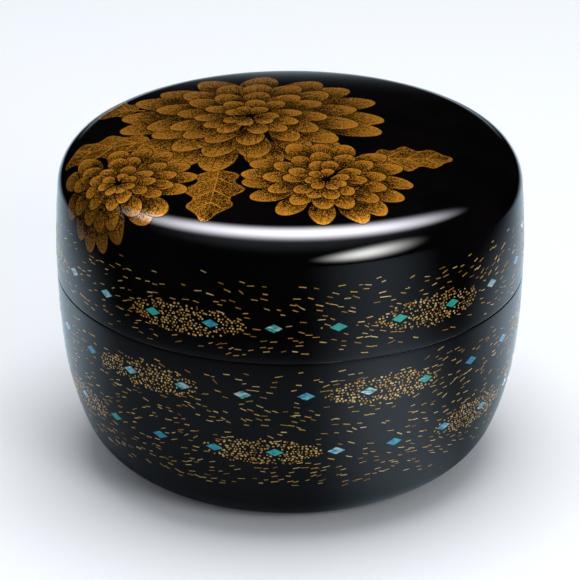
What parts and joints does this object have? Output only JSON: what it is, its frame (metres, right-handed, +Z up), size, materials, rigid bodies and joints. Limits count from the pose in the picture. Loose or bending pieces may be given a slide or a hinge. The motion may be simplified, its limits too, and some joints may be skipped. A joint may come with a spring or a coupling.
{
  "type": "tea caddy",
  "caption": "Flat round lidded tea caddy in turned wood under black lacquer, with gold powder and shell inlay; the lid lifts straight off a raised collar.",
  "frame": {"origin": "middle of the flat underside, on the surface that the caddy stands on", "axes": "+Z up along the turning axis, through the middle of the lid; -Y faces the viewer of the picture, +X to the viewer's right"},
  "size_m": [0.082, 0.082, 0.0602],
  "materials": {
    "turned_wood": "plain turned hardwood, hidden under the lacquer",
    "black_lacquer": "black lacquer polished to a mirror gloss",
    "mother_of_pearl": "thin iridescent shell, teal to green with pink, polished flush with the lacquer",
    "gold_powder": "sprinkled gold powder and cut gold slivers under a clear polished coat"
  },
  "bodies": {
    "body": {"body_core": "turned_wood", "body_inner_lacquer": "black_lacquer", "body_outer_lacquer": "black_lacquer", "underside_lacquer": "black_lacquer", "body_upper_shell_inlays": "mother_of_pearl", "body_lower_shell_inlays": "mother_of_pearl"},
    "lid": {"lid_core": "turned_wood", "lid_inner_lacquer": "black_lacquer", "lid_outer_lacquer": "black_lacquer", "lid_shell_inlays": "mother_of_pearl"}
  },
  "joints": [
    {"name": "lid_lift", "type": "slide", "parent": "body", "child": "lid", "axis": [0, 0, 1], "range_m": [0, 0.06]}
  ]
}
